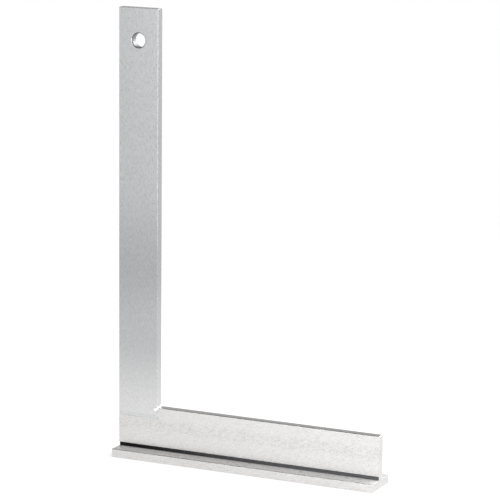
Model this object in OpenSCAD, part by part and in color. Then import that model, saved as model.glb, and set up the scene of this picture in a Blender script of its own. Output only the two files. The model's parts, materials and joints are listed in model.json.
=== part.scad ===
// Back square: a flat bar standing on the heel of a short leg that carries a wide stop plate.
// +Z runs up the long leg, +X runs along the short leg to its free end, and Y is the thickness.
// The origin is on the underside, at the middle of the stop plate.

/* [Long leg] */
// Length of the long leg above the stop plate
leg_above = 250; // [150:5:500]
// Width of the long leg, from its outer edge to its inner edge
leg_w = 24.2; // [16:0.1:40]

/* [Short leg] */
// Length of the short leg, from the heel to its free end
short_len = 160; // [100:5:300]
// Height of the short leg above the stop plate
short_h = 24.8; // [16:0.2:40]

/* [Both legs] */
// Thickness of both legs, which lie in one plane
leg_t = 5; // [4:0.5:10]
// Width of the small bevel that takes the sharpness off every edge
edge_break = 0.2; // [0.1:0.05:0.5]

/* [Hanging hole] */
// Diameter of the hanging hole
hole_d = 8; // [4:0.5:12]
// Distance from the top end down to the centre of the hanging hole
hole_drop = 18; // [10:0.5:30]
// Depth of the countersink on both rims of the hanging hole
hole_break = 0.2; // [0.1:0.05:0.5]

/* [Heel joint] */
// Depth to which the foot of the long leg is let into the short leg
let_in = 5.5; // [3:0.5:8]
// Width of the ground weld seam on each face
seam_w = 1.8; // [1:0.1:2.4]
// Angle of the V groove that the weld seam fills
seam_angle = 90; // [80:5:120]

/* [Inner corner] */
// Width of the relief slit in the inner corner
slit_w = 1.3; // [1:0.1:3]
// Depth of the relief slit, measured along its slope
slit_depth = 2; // [1.5:0.1:3.5]

/* [Root of the short leg] */
// Height of the relief groove between the short leg and the stop plate
relief_h = 2.15; // [1:0.05:3]
// Depth of the relief groove into each face of the short leg
relief_depth = 0.75; // [0.5:0.05:1.4]

/* [Stop plate] */
// Width of the stop plate across the legs
stop_w = 22.5; // [16:0.5:40]
// Thickness of the stop plate
stop_t = 4.8; // [4:0.2:10]
// Depth of the groove in the stop plate that seats the short leg
groove_depth = 2.5; // [1.5:0.1:3]

/* [Hidden] */
$fn = 96;
// Overshoot of every cutting solid past the face that it opens
over = 1;
heel_x = -short_len / 2;
// Inner edge of the long leg
inner_x = heel_x + leg_w;
// Top end of the long leg
top_z = stop_t + leg_above;
// Top edge of the short leg
web_z = stop_t + short_h;
// Foot of the long leg, on its seat in the short leg
foot_z = web_z - let_in;
// Underside of the short leg's full thickness, above its relief grooves
shoulder_z = stop_t + relief_h;
// Floor of the groove in the stop plate, where the tongue of the short leg stands
seat_z = stop_t - groove_depth;
// Thickness of the tongue, which is what the two relief grooves leave
tongue_t = leg_t - 2 * relief_depth;
// Depth of the V groove at its apex
seam_depth = seam_w / 2 / tan(seam_angle / 2);

// Rectangle with its lowest corner at low and a bevel across each corner
module broken_rect(low, size) {
    high = low + size;
    b = edge_break;
    polygon([
        [low[0] + b, low[1]], [high[0] - b, low[1]],
        [high[0], low[1] + b], [high[0], high[1] - b],
        [high[0] - b, high[1]], [low[0] + b, high[1]],
        [low[0], high[1] - b], [low[0], low[1] + b]
    ]);
}

// Section drawn in Y and Z, run along X from x0
module along_x(x0, len) {
    translate([x0, 0, 0]) rotate([90, 0, 90]) linear_extrude(len) children();
}

// Outline drawn in X and Z, cut through the given thickness about the middle plane
module across_y(thickness) {
    rotate([90, 0, 0]) linear_extrude(thickness, center = true) children();
}

// Box that starts at the heel, centred across Y, from z0 up to z1, with all its edges broken
module broken_box(len, thickness, z0, z1) {
    height = z1 - z0;
    intersection() {
        translate([0, 0, z0]) linear_extrude(height)
            broken_rect([heel_x, -thickness / 2], [len, thickness]);
        across_y(thickness) broken_rect([heel_x, z0], [len, height]);
        along_x(heel_x, len) broken_rect([-thickness / 2, z0], [thickness, height]);
    }
}

// Half width of the V groove at a height above the face that it opens
function seam_half(above) = (seam_depth + above) * tan(seam_angle / 2);

// Section of the V groove in the front face, across its run, widened past the face
module seam_section() {
    face = -leg_t / 2;
    polygon([
        [-seam_half(over), face - over],
        [seam_half(over), face - over],
        [0, face + seam_depth]
    ]);
}

// Level run of the V groove along the foot of the long leg, ending at x1
module seam_level(x1) {
    start = heel_x - over;
    translate([start, 0, foot_z]) rotate([0, 90, 0])
        linear_extrude(x1 - start) seam_section();
}

// Upright run of the V groove along the inner edge of the long leg, starting at z0
module seam_upright(z0) {
    translate([inner_x, 0, z0]) linear_extrude(web_z - z0) seam_section();
}

// V groove for the front seam: both runs, and the mitre where they meet
module seam_groove() {
    seam_level(inner_x);
    seam_upright(foot_z);
    intersection() {
        seam_level(inner_x + seam_half(over));
        seam_upright(foot_z - seam_half(over));
    }
}

// V grooves of the front and the rear seam
module seam_grooves() {
    seam_groove();
    mirror([0, 1, 0]) seam_groove();
}

// Slit on the slope through the inner corner, which keeps the corner clear of the measured edge
module corner_relief() {
    translate([inner_x, 0, web_z]) rotate([0, -45, 0])
        translate([-slit_depth, -leg_t / 2 - over, -slit_w / 2])
            cube([slit_depth + slit_w + over, leg_t + 2 * over, slit_w]);
}

// Hanging hole through the long leg, with a small countersink on both rims
module hanging_hole() {
    rim_r = hole_d / 2 + hole_break;
    translate([heel_x + leg_w / 2, 0, top_z - hole_drop]) rotate([90, 0, 0]) {
        cylinder(d = hole_d, h = leg_t + 2 * over, center = true);
        for (side = [0, 1]) mirror([0, 0, side])
            translate([0, 0, leg_t / 2 - hole_break])
                cylinder(r1 = hole_d / 2, r2 = rim_r + over, h = hole_break + over);
    }
}

module long_leg() {
    color("gainsboro") difference() {
        intersection() {
            broken_box(leg_w, leg_t, 0, top_z);
            translate([heel_x, -leg_t / 2, foot_z]) cube([leg_w, leg_t, top_z - foot_z]);
        }
        hanging_hole();
        seam_grooves();
        corner_relief();
    }
}

module short_leg() {
    color("whitesmoke") difference() {
        union() {
            broken_box(short_len, leg_t, shoulder_z, web_z);
            translate([heel_x, -tongue_t / 2, seat_z])
                cube([short_len, tongue_t, shoulder_z + 2 * edge_break - seat_z]);
        }
        translate([heel_x - over, -leg_t / 2 - over, foot_z])
            cube([leg_w + over, leg_t + 2 * over, let_in + over]);
        seam_grooves();
        corner_relief();
    }
}

module stop_plate() {
    color("lightgray") difference() {
        broken_box(short_len, stop_w, 0, stop_t);
        translate([heel_x - over, -tongue_t / 2, seat_z])
            cube([short_len + 2 * over, tongue_t, groove_depth + over]);
    }
}

// Weld seam on the front face, ground level with the faces and edges of both legs
module seam_front() {
    difference() {
        intersection() {
            seam_groove();
            broken_box(short_len, leg_t, 0, top_z);
        }
        corner_relief();
    }
}

module weld_seam_front() {
    color("silver") seam_front();
}

module weld_seam_rear() {
    color("silver") mirror([0, 1, 0]) seam_front();
}

long_leg();
short_leg();
stop_plate();
weld_seam_front();
weld_seam_rear();
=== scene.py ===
"""Back square, dressed: ground steel legs, a wide stop plate, ground weld seams and a pale studio."""

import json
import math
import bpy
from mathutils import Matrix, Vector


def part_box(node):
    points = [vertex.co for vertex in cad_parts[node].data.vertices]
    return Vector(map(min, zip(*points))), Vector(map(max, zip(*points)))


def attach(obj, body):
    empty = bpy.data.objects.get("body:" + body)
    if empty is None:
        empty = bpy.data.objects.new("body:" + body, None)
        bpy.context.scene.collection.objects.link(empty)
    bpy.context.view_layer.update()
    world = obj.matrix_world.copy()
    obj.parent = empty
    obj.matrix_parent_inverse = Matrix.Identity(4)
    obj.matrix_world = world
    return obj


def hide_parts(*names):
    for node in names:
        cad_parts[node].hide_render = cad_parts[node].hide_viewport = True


bl_info = {
    "name": "Back Square",
    "version": (1, 0, 0),
    "blender": (4, 5, 0),
    "location": "View3D > Sidebar > Back Square",
    "description": "Models the legs, stop plate and weld seams of a back square, and its studio",
    "category": "Object",
}

import bpy
from bpy.props import FloatProperty, FloatVectorProperty, PointerProperty
from mathutils import Vector

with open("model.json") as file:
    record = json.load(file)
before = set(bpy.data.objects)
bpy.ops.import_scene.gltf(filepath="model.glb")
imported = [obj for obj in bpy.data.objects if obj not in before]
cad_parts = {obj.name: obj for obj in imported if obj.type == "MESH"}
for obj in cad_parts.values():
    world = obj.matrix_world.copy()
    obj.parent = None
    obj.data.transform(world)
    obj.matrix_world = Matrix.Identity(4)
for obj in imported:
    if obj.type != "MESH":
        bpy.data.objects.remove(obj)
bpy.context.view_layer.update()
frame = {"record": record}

MM = 0.001
# The frame's own sizes, in metres: every piece below is placed from these
LEG_LOW, LEG_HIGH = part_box("long_leg")
SHORT_LOW, SHORT_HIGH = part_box("short_leg")
STOP_LOW, STOP_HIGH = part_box("stop_plate")
SEAM_LOW, SEAM_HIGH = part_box("weld_seam_front")
HEEL_X = LEG_LOW.x
INNER_X = LEG_HIGH.x
FREE_X = SHORT_HIGH.x
TOP_Z = LEG_HIGH.z
FOOT_Z = LEG_LOW.z
WEB_Z = SHORT_HIGH.z
SEAT_Z = SHORT_LOW.z
LEDGE_Z = STOP_HIGH.z
LEG_T = LEG_HIGH.y - LEG_LOW.y
SEAM_DEPTH = SEAM_HIGH.y - SEAM_LOW.y
BORE = next(m for m in frame["record"]["mounts"] if m["name"] == "hanging_hole")
HOLE = Vector(BORE["pos_m"])
HOLE_R = BORE["dims"]["r_mm"] * MM
# Faces that meet at more than this are a sharp edge, and at less they are one round
SHARP = math.radians(38)


def linear(hex_colour):
    """Turns an sRGB hex colour such as "B4B6B9" into linear red, green, blue and full alpha."""
    parts = [int(hex_colour[i : i + 2], 16) / 255 for i in (0, 2, 4)]
    return tuple(p / 12.92 if p <= 0.04045 else ((p + 0.055) / 1.055) ** 2.4 for p in parts) + (1.0,)


# ---------------------------------------------------------------- sizes and colours


class SquareSizes(bpy.types.PropertyGroup):
    """Sizes of the small forms; the main sizes come from the frame"""

    edge_round: FloatProperty(
        name="Edge round", description="Radius that takes the sharpness off every outer edge",
        default=0.12 * MM, min=0.05 * MM, max=0.2 * MM, unit="LENGTH")
    top_break: FloatProperty(
        name="Top break", description="Bevel along the top of the short leg and of the stop plate",
        default=0.25 * MM, min=0.2 * MM, max=0.5 * MM, unit="LENGTH")
    rim_break: FloatProperty(
        name="Hole rim", description="Countersink round the hanging hole",
        default=0.4 * MM, min=0.2 * MM, max=0.6 * MM, unit="LENGTH")
    slit_width: FloatProperty(
        name="Slit width", description="Width of the relief slit in the inner corner",
        default=1.3 * MM, min=1 * MM, max=3 * MM, unit="LENGTH")
    slit_depth: FloatProperty(
        name="Slit depth", description="Depth of the relief slit along its slope",
        default=2 * MM, min=1.5 * MM, max=3.5 * MM, unit="LENGTH")
    weld_sink: FloatProperty(
        name="Weld sink", description="Depth of the ground weld below the faces of the legs",
        default=0.05 * MM, min=0, max=0.15 * MM, unit="LENGTH")
    relief_height: FloatProperty(
        name="Relief height", description="Height of the groove between the short leg and the stop plate",
        default=2.15 * MM, min=1 * MM, max=3 * MM, unit="LENGTH")
    relief_depth: FloatProperty(
        name="Relief depth", description="Depth of that groove into each face of the short leg",
        default=0.75 * MM, min=0.5 * MM, max=1.4 * MM, unit="LENGTH")
    relief_round: FloatProperty(
        name="Relief round", description="Radius that the cutter leaves in the top of that groove",
        default=0.35 * MM, min=0.1 * MM, max=0.5 * MM, unit="LENGTH")


class SquareColours(bpy.types.PropertyGroup):
    """Colours of the finishes, before the grinding lightens and darkens them"""

    long_leg: FloatVectorProperty(
        name="Long leg", description="Colour of the long leg's ground steel",
        default=linear("AFB0B1"), size=4, subtype="COLOR", min=0, max=1)
    # painted highlight: the long leg's foot is drawn lighter, standing in for the studio's reflection
    foot_highlight: FloatVectorProperty(
        name="Foot", description="Colour of the long leg's foot, ground again with the short leg",
        default=linear("CBCBCB"), size=4, subtype="COLOR", min=0, max=1)
    # painted shade: the long leg is drawn darker about 110 mm up, standing in for the studio's reflection
    mid_shade: FloatVectorProperty(
        name="Grip", description="Colour of the long leg where a hand holds and dulls it",
        default=linear("A1A2A4"), size=4, subtype="COLOR", min=0, max=1)
    short_leg: FloatVectorProperty(
        name="Short leg", description="Colour of the short leg's ground steel",
        default=linear("CECDCC"), size=4, subtype="COLOR", min=0, max=1)
    stop_plate: FloatVectorProperty(
        name="Stop plate", description="Colour of the stop plate's ground steel",
        default=linear("CFCDCC"), size=4, subtype="COLOR", min=0, max=1)
    # painted shade: the relief groove's colour, drawn darker again towards the heel and used in the stop
    # plate's inner corner
    groove: FloatVectorProperty(
        name="Groove", description="Colour of the raw relief groove at its free end",
        default=linear("545557"), size=4, subtype="COLOR", min=0, max=1)
    weld: FloatVectorProperty(
        name="Weld", description="Colour of the ground weld metal",
        default=linear("C6C7C8"), size=4, subtype="COLOR", min=0, max=1)
    floor: FloatVectorProperty(
        name="Floor", description="Colour of the studio floor",
        default=linear("F2F2F2"), size=4, subtype="COLOR", min=0, max=1)


# ---------------------------------------------------------------- modelling by hand


def start_clean():
    """Leaves edit mode with nothing selected."""
    if bpy.context.mode != "OBJECT":
        bpy.ops.object.mode_set(mode="OBJECT")
    bpy.ops.object.select_all(action="DESELECT")


def block(name, low, high):
    """Adds a box primitive between two corners, with its place in its mesh."""
    start_clean()
    low, high = Vector(low), Vector(high)
    bpy.ops.mesh.primitive_cube_add(size=1, location=(low + high) / 2, scale=high - low)
    piece = bpy.context.object
    piece.name = name
    bpy.ops.object.transform_apply(location=True, rotation=True, scale=True)
    return piece


def rod(name, sides, radius, start, end):
    """Adds a prism of that many sides whose axis runs from start to end."""
    start_clean()
    start, end = Vector(start), Vector(end)
    run = end - start
    turn = Vector((0, 0, 1)).rotation_difference(run).to_euler()
    bpy.ops.mesh.primitive_cylinder_add(
        vertices=sides, radius=radius, depth=run.length, location=(start + end) / 2, rotation=turn)
    piece = bpy.context.object
    piece.name = name
    bpy.ops.object.transform_apply(location=True, rotation=True, scale=True)
    return piece


def make_active(piece):
    """Selects the piece alone and makes it active."""
    start_clean()
    piece.select_set(True)
    bpy.context.view_layer.objects.active = piece


def pick(piece, kind, test):
    """Enters edit mode with only the faces or edges selected that pass the test."""
    make_active(piece)
    bpy.ops.object.mode_set(mode="EDIT")
    bpy.ops.mesh.select_mode(type=kind)
    bpy.ops.mesh.select_all(action="DESELECT")
    bpy.ops.object.mode_set(mode="OBJECT")
    items = piece.data.polygons if kind == "FACE" else piece.data.edges
    count = 0
    for item in items:
        item.select = test(piece.data, item)
        count += item.select
    if not count:
        raise RuntimeError(f"nothing to select on {piece.name}")
    bpy.ops.object.mode_set(mode="EDIT")


def ends(mesh, edge):
    """The places of an edge's two ends."""
    return [mesh.vertices[i].co for i in edge.vertices]


def near(one, other):
    """Whether two lengths agree to a hundredth of a millimetre."""
    return abs(one - other) < 0.01 * MM


def carve(piece, cutter, operation="DIFFERENCE"):
    """Applies a boolean between the piece and the cutter, which is then deleted."""
    make_active(piece)
    cut = piece.modifiers.new("cut", "BOOLEAN")
    cut.operation = operation
    cut.solver = "EXACT"
    cut.object = cutter
    bpy.ops.object.modifier_apply(modifier=cut.name)
    start_clean()
    cutter.select_set(True)
    bpy.ops.object.delete()


def tidy(piece):
    """Merges doubles and the flat faces that the cuts left divided, and points faces outwards."""
    make_active(piece)
    bpy.ops.object.mode_set(mode="EDIT")
    bpy.ops.mesh.select_all(action="SELECT")
    bpy.ops.mesh.remove_doubles(threshold=0.002 * MM)
    bpy.ops.mesh.dissolve_limited(angle_limit=math.radians(0.5))
    bpy.ops.mesh.normals_make_consistent(inside=False)
    bpy.ops.object.mode_set(mode="OBJECT")


def ease(piece, width, segments, test):
    """Bevels the chosen edges by that width: one segment is a flat bevel, and more are a round."""
    pick(piece, "EDGE", test)
    bpy.ops.mesh.bevel(offset=width, segments=segments, affect="EDGES")
    bpy.ops.object.mode_set(mode="OBJECT")


def round_edges(piece, width):
    """Rounds every edge that is still sharp."""
    make_active(piece)
    bevel = piece.modifiers.new("round", "BEVEL")
    bevel.width = width
    bevel.segments = 3
    bevel.limit_method = "ANGLE"
    bevel.angle_limit = SHARP
    bevel.use_clamp_overlap = True
    bpy.ops.object.modifier_apply(modifier=bevel.name)


def smooth_rounds(piece):
    """Shades the rounds smooth and keeps the flats flat up to their borders."""
    make_active(piece)
    bpy.ops.object.shade_smooth_by_angle(angle=SHARP)
    flats = piece.modifiers.new("flats", "WEIGHTED_NORMAL")
    flats.weight = 100
    flats.keep_sharp = True
    bpy.ops.object.modifier_apply(modifier=flats.name)


def finish_piece(piece, node, material):
    """Gives the piece its finish, hangs it on the root body and hides the CAD node that it stands for."""
    piece.data.materials.clear()
    piece.data.materials.append(material)
    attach(piece, "root")
    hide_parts(node)


def corner_slit(piece, sizes):
    """Cuts the sloping relief slit through the inner corner."""
    slope = Vector((-1, 0, -1)).normalized()
    corner = Vector((INNER_X, 0, WEB_Z))
    start_clean()
    # the cutter starts well outside the corner
    length = sizes.slit_depth + 4 * MM
    centre = corner + slope * (sizes.slit_depth - length / 2)
    bpy.ops.mesh.primitive_cube_add(
        size=1, location=centre, rotation=(0, math.radians(-45), 0),
        scale=(length, LEG_T + 2 * MM, sizes.slit_width))
    cutter = bpy.context.object
    bpy.ops.object.transform_apply(location=True, rotation=True, scale=True)
    carve(piece, cutter)


def seam_run(name, side, reach):
    """Adds the V groove's solid on one face: a square rod on edge, level to the inner edge, then up."""
    # its axis stands off the face, so only the lower point of its section enters the metal
    axis_y = side * (LEG_T / 2 + MM)
    corner = Vector((INNER_X, axis_y, FOOT_Z))
    run = rod(name, 4, SEAM_DEPTH + MM, (HEEL_X - reach, axis_y, FOOT_Z), corner + Vector((4 * MM, 0, 0)))
    bpy.ops.object.mode_set(mode="EDIT")
    bpy.ops.mesh.select_all(action="SELECT")
    bpy.ops.mesh.bisect(plane_co=corner, plane_no=(1, 0, 1), clear_outer=True)
    bpy.ops.mesh.extrude_edges_move()
    bpy.ops.transform.resize(value=(1, 1, 0), center_override=corner)
    bpy.ops.transform.translate(value=(0, 0, WEB_Z + reach - FOOT_Z))
    bpy.ops.mesh.edge_face_add()
    bpy.ops.mesh.select_all(action="SELECT")
    bpy.ops.mesh.normals_make_consistent(inside=False)
    bpy.ops.object.mode_set(mode="OBJECT")
    return run


# ---------------------------------------------------------------- materials


def add(tree, kind, at, inputs=None, stops=(), **settings):
    """Adds a node with its settings; each input takes a value, or the socket that is linked to it.

    The stops of a colour ramp are pairs of a position and a colour."""
    node = tree.nodes.new("ShaderNode" + kind)
    node.location = at
    for name, value in settings.items():
        setattr(node, name, value)
    for name, value in (inputs or {}).items():
        if isinstance(value, bpy.types.NodeSocket):
            tree.links.new(value, node.inputs[name])
        else:
            node.inputs[name].default_value = value
    for position, colour in stops[1:-1]:
        node.color_ramp.elements.new(position).color = colour
    for end in (0, -1) if stops else ():
        node.color_ramp.elements[end].position, node.color_ramp.elements[end].color = stops[end]
    return node


def shade(colour, amount):
    """A lighter or darker step of a linear colour."""
    return tuple(min(part * amount, 1.0) for part in colour[:3]) + (1.0,)


def new_steel(name):
    """Starts a bare metal finish, and returns it with its tree and the sockets of its place."""
    material = bpy.data.materials.new(name)
    material.use_nodes = True
    tree = material.node_tree
    shader = tree.nodes["Principled BSDF"]
    shader.location = (600, 0)
    shader.inputs["Metallic"].default_value = 1.0
    place = add(tree, "TexCoord", (-1800, 0)).outputs["Object"]
    return material, tree, place, add(tree, "SeparateXYZ", (-1600, -500), {0: place}).outputs


def grind(tree, place, colour, line, speck, contrast, relief, dents=None, matt=None):
    """Finishes a steel as a grinder leaves it: fine lines along the lay, specks of the grit, clouds.

    The colour is a value or a socket. A line has its size along X, Y and Z and a speck has one
    size, in metres. Dents are a further height, from 0 on the flat to 1 at the bottom, and matt
    is 1 where the surface was never ground."""
    shader = tree.nodes["Principled BSDF"]
    scale = [1 / size for size in line]
    lines = add(tree, "Mapping", (-1400, 200), {"Vector": place, "Scale": scale})
    lines = add(tree, "TexNoise", (-1200, 200), {
        "Vector": lines.outputs[0], "Scale": 1.0, "Detail": 2.0, "Roughness": 0.6}).outputs[0]
    specks = add(tree, "TexNoise", (-1200, -50), {
        "Vector": place, "Scale": 1 / speck, "Detail": 2.0, "Roughness": 0.6}).outputs[0]
    clouds = add(tree, "TexNoise", (-1200, -300), {
        "Vector": place, "Scale": 1 / (24 * MM), "Detail": 2.0, "Roughness": 0.5}).outputs[0]
    height = add(tree, "Math", (-1000, 0), {0: clouds, 1: 0.25}, operation="MULTIPLY")
    height = add(tree, "Math", (-850, 0), {0: specks, 1: 0.35, 2: height.outputs[0]},
                 operation="MULTIPLY_ADD")
    height = add(tree, "Math", (-700, 0), {0: lines, 1: 0.4, 2: height.outputs[0]},
                 operation="MULTIPLY_ADD").outputs[0]
    tone = add(tree, "MapRange", (-500, 200), {
        "Value": height, "From Min": 0.4, "From Max": 0.6, "To Min": 1 - contrast, "To Max": 1 + contrast})
    base = add(tree, "Mix", (300, 200), {0: 1.0, 6: colour, 7: tone.outputs[0]},
               data_type="RGBA", blend_type="MULTIPLY")
    rough = add(tree, "MapRange", (300, -50), {
        "Value": lines, "From Min": 0.3, "From Max": 0.7, "To Min": 0.25, "To Max": 0.33})
    if matt:
        rough = add(tree, "Math", (450, -50), {0: matt, 1: 0.35, 2: rough.outputs[0]},
                    operation="MULTIPLY_ADD")
    if dents:
        height = add(tree, "Math", (100, -300), {0: dents, 1: -1.0, 2: height},
                     operation="MULTIPLY_ADD").outputs[0]
    bump = add(tree, "Bump", (300, -300), {"Strength": relief, "Distance": 0.02 * MM, "Height": height})
    tree.links.new(base.outputs[2], shader.inputs["Base Color"])
    tree.links.new(rough.outputs[0], shader.inputs["Roughness"])
    tree.links.new(bump.outputs[0], shader.inputs["Normal"])


def long_leg_finish(sizes, colours):
    """Zinc plated flat bar, ground lengthwise: a satin sheen with fine upright lines.

    Its foot is painted lighter and its middle, about 110 mm up, darker: painted reflection of the studio."""
    material, tree, place, xyz = new_steel("Zinc plated steel, ground lengthwise")
    # painted reflection: the leg is lighter at its foot and darker about 110 mm up
    rise = add(tree, "MapRange", (-500, -500), {"Value": xyz[2], "From Min": FOOT_Z, "From Max": TOP_Z})
    reflection_zones = add(tree, "ValToRGB", (-300, -500), {0: rise.outputs[0]}, stops=(
        (0.0, colours.foot_highlight), (0.2, shade(colours.long_leg, 0.98)), (0.37, colours.mid_shade),
        (0.59, shade(colours.long_leg, 0.99)), (1.0, colours.long_leg)))
    reflection_zones.color_ramp.interpolation = "EASE"
    # the hole is left as drilled and matt inside; its rim is painted dark, and its wall painted darker as
    # shade that damps a lamp's reflection
    spoke = add(tree, "VectorMath", (-1400, -800), {0: place, 1: (-HOLE.x, 0, -HOLE.z)}, operation="ADD")
    spoke = add(tree, "VectorMath", (-1200, -800), {0: spoke.outputs[0], 1: (1, 0, 1)}, operation="MULTIPLY")
    spoke = add(tree, "VectorMath", (-1000, -800), {0: spoke.outputs[0]}, operation="LENGTH")
    rim_r = HOLE_R + sizes.rim_break
    drilled = add(tree, "MapRange", (-800, -800), {
        "Value": spoke.outputs["Value"], "From Min": rim_r + 0.05 * MM, "From Max": rim_r - 0.02 * MM})
    wall = add(tree, "MapRange", (-800, -1050), {
        "Value": spoke.outputs["Value"], "From Min": HOLE_R + 0.06 * MM, "From Max": HOLE_R + 0.01 * MM})
    # painted dark: the rim at 0.2 of the leg's colour, the wall at 0.6 as painted shade
    bore_darkening = add(tree, "Mix", (-300, -800), {
        0: wall.outputs[0], 6: shade(colours.long_leg, 0.2), 7: shade(colours.long_leg, 0.6)},
        data_type="RGBA")
    base = add(tree, "Mix", (-100, -500), {0: drilled.outputs[0], 6: reflection_zones.outputs[0], 7: bore_darkening.outputs[2]},
               data_type="RGBA")
    # real grit lines are near 0.1 mm wide, too fine to show, so they are drawn 0.6 mm wide
    grind(tree, place, base.outputs[2], (0.6 * MM, 0.6 * MM, 2.5 * MM), 0.8 * MM, 0.03, 0.06,
          matt=drilled.outputs[0])
    return material


def short_leg_finish(sizes, colours):
    """Zinc plated flat bar, ground along its length: level streaks, and a rough mottled band just above
    mid height where the grinding left the rolled skin. The relief groove is painted dark as shade,
    darkest by the heel."""
    material, tree, place, xyz = new_steel("Zinc plated steel, ground level")
    # rolled skin: pits under 1 mm across, in a band about 7 mm high whose edges wander
    skin_z = 19.5 * MM
    sway = 5 * MM
    wander = add(tree, "TexNoise", (-1400, -650), {"Vector": place, "Scale": 1 / (9 * MM), "Detail": 1.0})
    level = add(tree, "Math", (-1200, -600), {0: wander.outputs[0], 1: sway, 2: xyz[2]},
                operation="MULTIPLY_ADD")
    level = add(tree, "Math", (-1050, -600), {0: level.outputs[0], 1: skin_z + sway / 2},
                operation="SUBTRACT")
    level = add(tree, "Math", (-900, -600), {0: level.outputs[0]}, operation="ABSOLUTE")
    band = add(tree, "MapRange", (-700, -600), {
        "Value": level.outputs[0], "From Min": 5 * MM, "From Max": 1.6 * MM}, interpolation_type="SMOOTHSTEP")
    pits = add(tree, "TexNoise", (-1200, -850), {
        "Vector": place, "Scale": 1 / (1.0 * MM), "Detail": 3.0, "Roughness": 0.7})
    pits = add(tree, "MapRange", (-900, -850), {"Value": pits.outputs[0], "From Min": 0.45, "From Max": 0.7})
    pitted = add(tree, "Math", (-500, -700), {0: band.outputs[0], 1: pits.outputs[0]}, operation="MULTIPLY")
    dull = add(tree, "Mix", (-300, -500), {
        0: pitted.outputs[0], 6: colours.short_leg, 7: shade(colours.short_leg, 0.8)}, data_type="RGBA")
    # painted shade in the relief groove, under the shoulder, darkest by the heel
    shoulder = LEDGE_Z + sizes.relief_height
    low = add(tree, "MapRange", (-900, -1100), {
        "Value": xyz[2], "From Min": shoulder + 0.05 * MM, "From Max": shoulder - sizes.relief_round})
    out = add(tree, "Math", (-1050, -1350), {0: xyz[0]}, operation="ABSOLUTE")
    inside = add(tree, "MapRange", (-900, -1350), {
        "Value": out.outputs[0], "From Min": FREE_X - 0.15 * MM, "From Max": FREE_X - 0.25 * MM})
    groove = add(tree, "Math", (-700, -1100), {0: low.outputs[0], 1: inside.outputs[0]}, operation="MULTIPLY")
    run = add(tree, "MapRange", (-700, -1350), {
        "Value": xyz[0], "From Min": HEEL_X, "From Max": 10 * MM}, interpolation_type="SMOOTHSTEP")
    groove_shade = add(tree, "Mix", (-300, -1200), {
        0: run.outputs[0], 6: shade(colours.groove, 0.12), 7: colours.groove}, data_type="RGBA")
    base = add(tree, "Mix", (-100, -500), {0: groove.outputs[0], 6: dull.outputs[2], 7: groove_shade.outputs[2]},
               data_type="RGBA")
    grind(tree, place, base.outputs[2], (3 * MM, 0.6 * MM, 0.6 * MM), 0.8 * MM, 0.035, 0.08,
          dents=pitted.outputs[0])
    return material


def stop_plate_finish(sizes, colours):
    """Zinc plated flat bar, ground flat: level streaks, with painted shade in the corner by the short leg and
    on the outer parts of the ledges.
    """
    material, tree, place, xyz = new_steel("Zinc plated steel, ground flat")
    shader = tree.nodes["Principled BSDF"]
    out = add(tree, "Math", (-1100, -500), {0: xyz[1]}, operation="ABSOLUTE")
    ledge = add(tree, "MapRange", (-900, -750), {
        "Value": xyz[2], "From Min": LEDGE_Z - 0.04 * MM, "From Max": LEDGE_Z})
    # painted shade in the inner corner along the short leg, in the groove's colour up to 0.6
    corner = add(tree, "MapRange", (-900, -500), {
        "Value": out.outputs[0], "From Min": LEG_T / 2 + 0.7 * MM, "From Max": LEG_T / 2 - 0.3 * MM,
        "To Max": 0.6}, interpolation_type="SMOOTHSTEP")
    corner = add(tree, "Math", (-700, -500), {0: corner.outputs[0], 1: ledge.outputs[0]},
                 operation="MULTIPLY")
    # painted shade: the ledges grow darker outward, down to 0.7 of the colour
    outer = add(tree, "MapRange", (-900, -1000), {
        "Value": out.outputs[0], "From Min": 4 * MM, "From Max": STOP_HIGH.y - sizes.top_break})
    outer = add(tree, "Math", (-700, -1000), {0: outer.outputs[0], 1: ledge.outputs[0]}, operation="MULTIPLY")
    base = add(tree, "Mix", (-500, -500), {
        0: outer.outputs[0], 6: colours.stop_plate, 7: shade(colours.stop_plate, 0.7)}, data_type="RGBA")
    base = add(tree, "Mix", (-300, -500), {0: corner.outputs[0], 6: base.outputs[2], 7: colours.groove},
               data_type="RGBA")
    grind(tree, place, base.outputs[2], (4 * MM, 0.6 * MM, 0.6 * MM), 0.9 * MM, 0.035, 0.08)
    # the ledges are left matt, as milled, so that they scatter light and mirror nothing
    metal = add(tree, "MapRange", (450, -550), {"Value": ledge.outputs[0], "To Min": 1.0, "To Max": 0.35})
    tree.links.new(metal.outputs[0], shader.inputs["Metallic"])
    return material


def weld_finish(colours):
    """Mild steel weld metal, ground level with the bars: a little duller, and cloudy."""
    material, tree, place, _ = new_steel("Weld metal, ground level")
    grind(tree, place, colours.weld, (3 * MM, 0.6 * MM, 0.6 * MM), 0.9 * MM, 0.04, 0.08)
    return material


# ---------------------------------------------------------------- pieces


class SQUARE_OT_long_leg(bpy.types.Operator):
    """Model the long leg with its hanging hole, its slit and its ground finish"""

    bl_idname = "square.long_leg"
    bl_label = "Long leg"

    def execute(self, context):
        sizes, colours = context.scene.square_sizes, context.scene.square_colours
        leg = block("long_leg_bar", LEG_LOW, LEG_HIGH)
        carve(leg, rod("drill", 96, HOLE_R, HOLE - Vector((0, LEG_T, 0)), HOLE + Vector((0, LEG_T, 0))))
        corner_slit(leg, sizes)
        tidy(leg)
        ease(leg, sizes.rim_break, 1, lambda mesh, edge: all(
            near(math.hypot(p.x - HOLE.x, p.z - HOLE.z), HOLE_R) for p in ends(mesh, edge))
            and near(ends(mesh, edge)[0].y, ends(mesh, edge)[1].y))
        round_edges(leg, sizes.edge_round)
        # the V grooves are cut after the rounds, so that the welds meet crisp edges
        for side in (-1, 1):
            carve(leg, seam_run("groove", side, MM))
        tidy(leg)
        smooth_rounds(leg)
        finish_piece(leg, "long_leg", long_leg_finish(sizes, colours))
        return {"FINISHED"}


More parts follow.
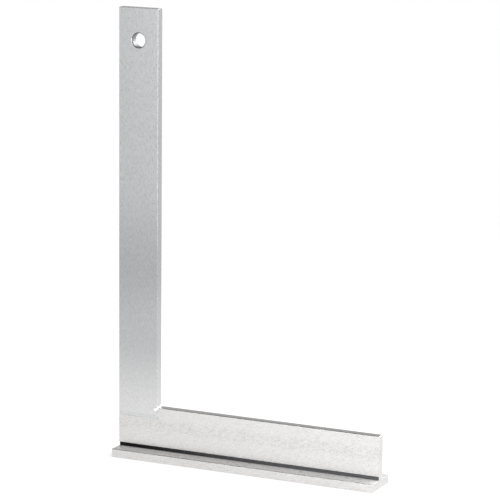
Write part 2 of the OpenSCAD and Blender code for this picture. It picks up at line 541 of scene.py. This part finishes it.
class SQUARE_OT_short_leg(bpy.types.Operator):
    """Model the short leg with its seat for the long leg, its relief grooves and its tongue"""

    bl_idname = "square.short_leg"
    bl_label = "Short leg"

    def execute(self, context):
        sizes, colours = context.scene.square_sizes, context.scene.square_colours
        half = LEG_T / 2 - sizes.relief_depth
        shoulder = LEDGE_Z + sizes.relief_height
        leg = block("short_leg_bar", (HEEL_X, -half, SEAT_Z), (FREE_X, half, WEB_Z))
        make_active(leg)
        bpy.ops.object.mode_set(mode="EDIT")
        bpy.ops.mesh.select_all(action="SELECT")
        bpy.ops.mesh.bisect(plane_co=(0, 0, shoulder), plane_no=(0, 0, 1))
        bpy.ops.object.mode_set(mode="OBJECT")
        pick(leg, "FACE", lambda mesh, face: abs(face.normal.y) > 0.9 and face.center.z > shoulder)
        bpy.ops.mesh.extrude_faces_move(TRANSFORM_OT_shrink_fatten={"value": sizes.relief_depth})
        bpy.ops.object.mode_set(mode="OBJECT")
        tidy(leg)
        ease(leg, sizes.relief_round, 3, lambda mesh, edge: all(
            near(abs(p.y), half) and near(p.z, shoulder) for p in ends(mesh, edge)))
        carve(leg, block("seat", (HEEL_X - MM, -LEG_T, FOOT_Z), (INNER_X, LEG_T, WEB_Z + MM)))
        corner_slit(leg, sizes)
        tidy(leg)
        ease(leg, sizes.top_break, 1, lambda mesh, edge: all(
            near(p.z, WEB_Z) and near(abs(p.y), LEG_T / 2) and p.x > INNER_X for p in ends(mesh, edge)))
        round_edges(leg, sizes.edge_round)
        for side in (-1, 1):
            carve(leg, seam_run("groove", side, MM))
        tidy(leg)
        smooth_rounds(leg)
        finish_piece(leg, "short_leg", short_leg_finish(sizes, colours))
        return {"FINISHED"}


class SQUARE_OT_stop_plate(bpy.types.Operator):
    """Model the stop plate with the groove that seats the short leg"""

    bl_idname = "square.stop_plate"
    bl_label = "Stop plate"

    def execute(self, context):
        sizes, colours = context.scene.square_sizes, context.scene.square_colours
        half = LEG_T / 2 - sizes.relief_depth
        plate = block("stop_plate_bar", STOP_LOW, STOP_HIGH)
        carve(plate, block("groove", (HEEL_X - MM, -half, SEAT_Z), (FREE_X + MM, half, LEDGE_Z + MM)))
        tidy(plate)
        ease(plate, sizes.top_break, 1, lambda mesh, edge: all(
            near(p.z, LEDGE_Z) and near(abs(p.y), STOP_HIGH.y) for p in ends(mesh, edge)))
        round_edges(plate, sizes.edge_round)
        smooth_rounds(plate)
        finish_piece(plate, "stop_plate", stop_plate_finish(sizes, colours))
        return {"FINISHED"}


class SQUARE_OT_weld_seams(bpy.types.Operator):
    """Model the weld seams on both faces, ground down to the legs"""

    bl_idname = "square.weld_seams"
    bl_label = "Weld seams"

    def execute(self, context):
        sizes, colours = context.scene.square_sizes, context.scene.square_colours
        material = weld_finish(colours)
        for side, node in ((-1, "weld_seam_front"), (1, "weld_seam_rear")):
            seam = seam_run(node + "_bead", side, MM)
            # what stands proud is ground off, a little below the faces and level with the edges
            depth = LEG_T / 2 - sizes.weld_sink
            keep = block("keep", (HEEL_X, -depth, FOOT_Z - 3 * MM), (INNER_X + 3 * MM, depth, WEB_Z))
            round_edges(keep, sizes.edge_round)
            carve(seam, keep, "INTERSECT")
            corner_slit(seam, sizes)
            tidy(seam)
            smooth_rounds(seam)
            finish_piece(seam, node, material)
        return {"FINISHED"}


# ---------------------------------------------------------------- studio


def soft_lamp(name, bearing, far, high, tall, watts):
    """Adds a soft lamp, turned to the object, at a bearing in degrees to the right of the front."""
    start_clean()
    angle = math.radians(bearing)
    at = Vector((far * math.sin(angle), -far * math.cos(angle), high))
    aim = Vector((0, 0, 80 * MM))
    turn = (at - aim).to_track_quat("Z", "Y").to_euler()
    bpy.ops.object.light_add(type="AREA", location=at, rotation=turn)
    lamp = bpy.context.object
    lamp.name = name
    lamp.data.shape = "RECTANGLE"
    lamp.data.size = 0.4
    lamp.data.size_y = tall
    lamp.data.energy = watts
    lamp.visible_camera = False


def seen_background(tree):
    """Finds the rays that should meet a plain white background: camera, gloss and glass."""
    ray = add(tree, "LightPath", (-600, 200))
    seen = add(tree, "Math", (-400, 200), {
        0: ray.outputs["Is Camera Ray"], 1: ray.outputs["Is Glossy Ray"]}, operation="MAXIMUM")
    return add(tree, "Math", (-200, 200), {
        0: seen.outputs[0], 1: ray.outputs["Is Transmission Ray"]}, operation="MAXIMUM").outputs[0]


class SQUARE_OT_studio(bpy.types.Operator):
    """Set up the pale floor, the soft lamps and the camera"""

    bl_idname = "square.studio"
    bl_label = "Studio"

    def execute(self, context):
        scene, colours = context.scene, context.scene.square_colours
        start_clean()
        bpy.ops.mesh.primitive_plane_add(size=12, location=(0, 0, 0))
        floor = context.object
        floor.name = "studio_floor"
        bpy.ops.object.transform_apply(location=True, rotation=True, scale=True)
        paint = bpy.data.materials.new("Matt white paper")
        paint.use_nodes = True
        tree = paint.node_tree
        tree.nodes.clear()
        seen = seen_background(tree)
        # faint shadows are kept round the object, and the floor is plain white beyond them
        place = add(tree, "TexCoord", (-600, 0)).outputs["Object"]
        far = add(tree, "VectorMath", (-400, 0), {0: place}, operation="LENGTH")
        share = add(tree, "MapRange", (-200, 0), {
            "Value": far.outputs["Value"], "From Min": 0.35, "From Max": 0.8, "To Min": 0.8, "To Max": 1.0})
        share = add(tree, "Math", (0, 200), {0: seen, 1: share.outputs[0]}, operation="MULTIPLY")
        matt = add(tree, "BsdfDiffuse", (0, 0), {"Color": colours.floor})
        white = add(tree, "Emission", (0, -150), {"Color": (1, 1, 1, 1), "Strength": 1.0})
        mix = add(tree, "MixShader", (200, 0), {0: share.outputs[0], 1: matt.outputs[0], 2: white.outputs[0]})
        add(tree, "OutputMaterial", (400, 0), {"Surface": mix.outputs[0]})
        floor.data.materials.append(paint)

        # the room is white up to a few degrees above the horizon, and darkens overhead
        world = bpy.data.worlds.new("Pale studio")
        scene.world = world
        world.use_nodes = True
        tree = world.node_tree
        tree.nodes.clear()
        seen = seen_background(tree)
        way = add(tree, "TexCoord", (-600, -100)).outputs["Generated"]
        way = add(tree, "SeparateXYZ", (-400, -100), {0: way})
        levels = ((0.08, 1), (0.22, 0.55), (0.45, 0.24), (0.9, 0.08))
        rise = add(tree, "ValToRGB", (-200, -100), {0: way.outputs[2]}, stops=[
            (height, (level, level, level, 1)) for height, level in levels])
        white = add(tree, "Background", (100, -100), {"Color": rise.outputs[0], "Strength": 1.0})
        room = add(tree, "Background", (100, 50), {"Color": (1, 1, 1, 1), "Strength": 0.6})
        mix = add(tree, "MixShader", (300, 0), {0: seen, 1: room.outputs[0], 2: white.outputs[0]})
        add(tree, "OutputWorld", (500, 0), {"Surface": mix.outputs[0]})

        # four lamps stand high round the right and the back, two low in front, and a weak one left
        for name, bearing, watts in (
                ("side", 100, 6.5), ("back_right", 130, 6.4), ("back", 155, 7.1), ("right", 60, 4.7)):
            soft_lamp(name, bearing, 0.8, 0.6, 0.4, watts)
        for name, bearing, watts in (("front_right", 30, 3.3), ("front", 0, 3.6)):
            soft_lamp(name, bearing, 0.8, 0.15, 0.25, watts)
        soft_lamp("left", -25, 1.5, 0.4, 0.2, 0.5)

        # camera: long lens, 25 degrees to the right of the front and 11 degrees above the middle
        azimuth, rise, roll = math.radians(25.23), math.radians(11.26), math.radians(0.559)
        reach = math.cos(rise)
        away = Vector((math.sin(azimuth) * reach, -math.cos(azimuth) * reach, math.sin(rise)))
        target = Vector((0.3, 0.0, 124.8)) * MM
        distance = 1497.6 * MM
        turn = away.to_track_quat("Z", "Y").to_euler()
        start_clean()
        bpy.ops.object.camera_add(location=target + away * distance, rotation=turn)
        camera = context.object
        camera.name = "studio_camera"
        camera.rotation_euler.rotate_axis("Z", roll)
        camera.data.sensor_width = 36
        camera.data.lens = 196.366
        camera.data.shift_x = -0.001
        camera.data.shift_y = 0.001
        scene.camera = camera
        scene.view_settings.view_transform = "Standard"
        return {"FINISHED"}


class SQUARE_PT_panel(bpy.types.Panel):
    """Sizes, colours and pieces of the back square"""

    bl_idname = "SQUARE_PT_panel"
    bl_label = "Back Square"
    bl_space_type = "VIEW_3D"
    bl_region_type = "UI"
    bl_category = "Back Square"

    def draw(self, context):
        layout = self.layout
        for group in (context.scene.square_sizes, context.scene.square_colours):
            box = layout.box()
            for name in group.__annotations__:
                box.prop(group, name)
        for operator in OPERATORS:
            layout.operator(operator.bl_idname)


OPERATORS = (
    SQUARE_OT_long_leg, SQUARE_OT_short_leg, SQUARE_OT_stop_plate, SQUARE_OT_weld_seams, SQUARE_OT_studio)
CLASSES = (SquareSizes, SquareColours, *OPERATORS, SQUARE_PT_panel)


def register():
    for cls in CLASSES:
        bpy.utils.register_class(cls)
    bpy.types.Scene.square_sizes = PointerProperty(type=SquareSizes)
    bpy.types.Scene.square_colours = PointerProperty(type=SquareColours)


def unregister():
    del bpy.types.Scene.square_colours
    del bpy.types.Scene.square_sizes
    for cls in reversed(CLASSES):
        bpy.utils.unregister_class(cls)


def main():
    register()
    bpy.ops.square.long_leg()
    bpy.ops.square.short_leg()
    bpy.ops.square.stop_plate()
    bpy.ops.square.weld_seams()
    bpy.ops.square.studio()


if __name__ == "__main__":
    main()
